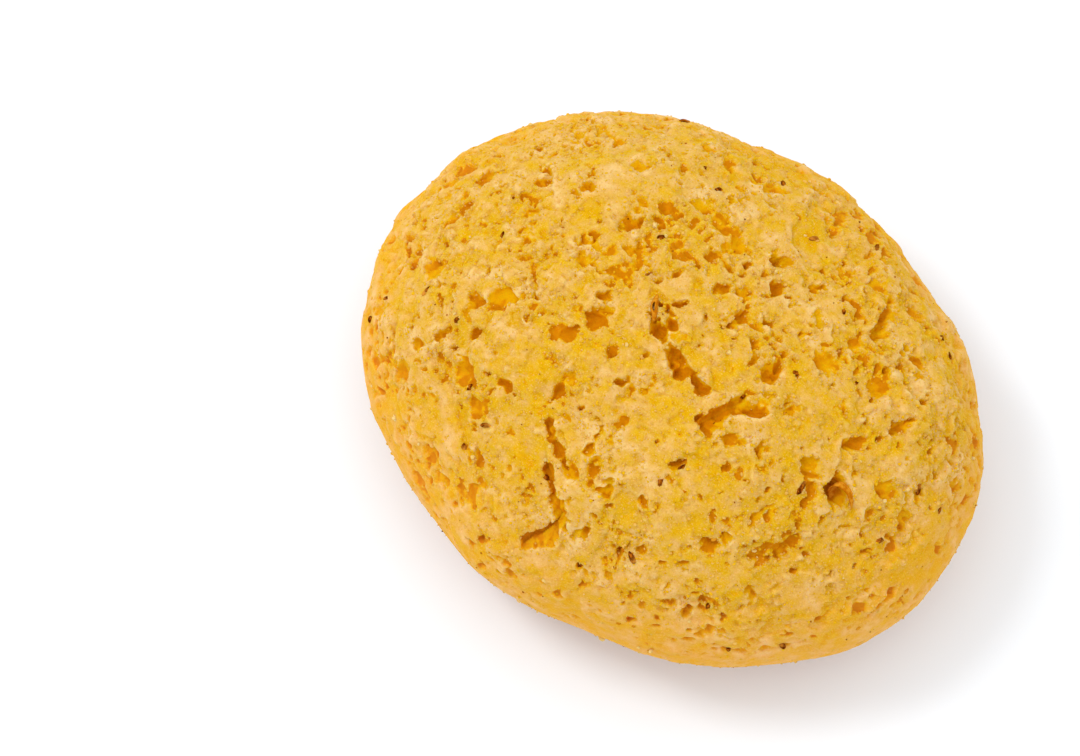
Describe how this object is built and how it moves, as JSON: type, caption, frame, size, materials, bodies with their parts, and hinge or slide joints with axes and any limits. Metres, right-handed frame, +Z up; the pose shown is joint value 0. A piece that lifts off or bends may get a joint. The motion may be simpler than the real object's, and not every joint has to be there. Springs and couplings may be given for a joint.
{
  "type": "cornbread bun",
  "caption": "Oval baked maize bun with a domed, cracked and pitted crown, a rounded belly and a flat browned foot.",
  "frame": {"origin": "on the tray plane, under the middle of the bun's bounding box", "axes": "+Z up from the flat foot to the crown, X along the bun's long axis, Y across it"},
  "size_m": [0.0944, 0.0762, 0.0431],
  "materials": {
    "crust": "matte, porous maize crust",
    "maize_grit": "dull, slightly waxy grain",
    "fennel_seed": "dry, dark brown husk"
  },
  "bodies": {
    "root": {"cornbread_bun": "crust"}
  },
  "joints": []
}
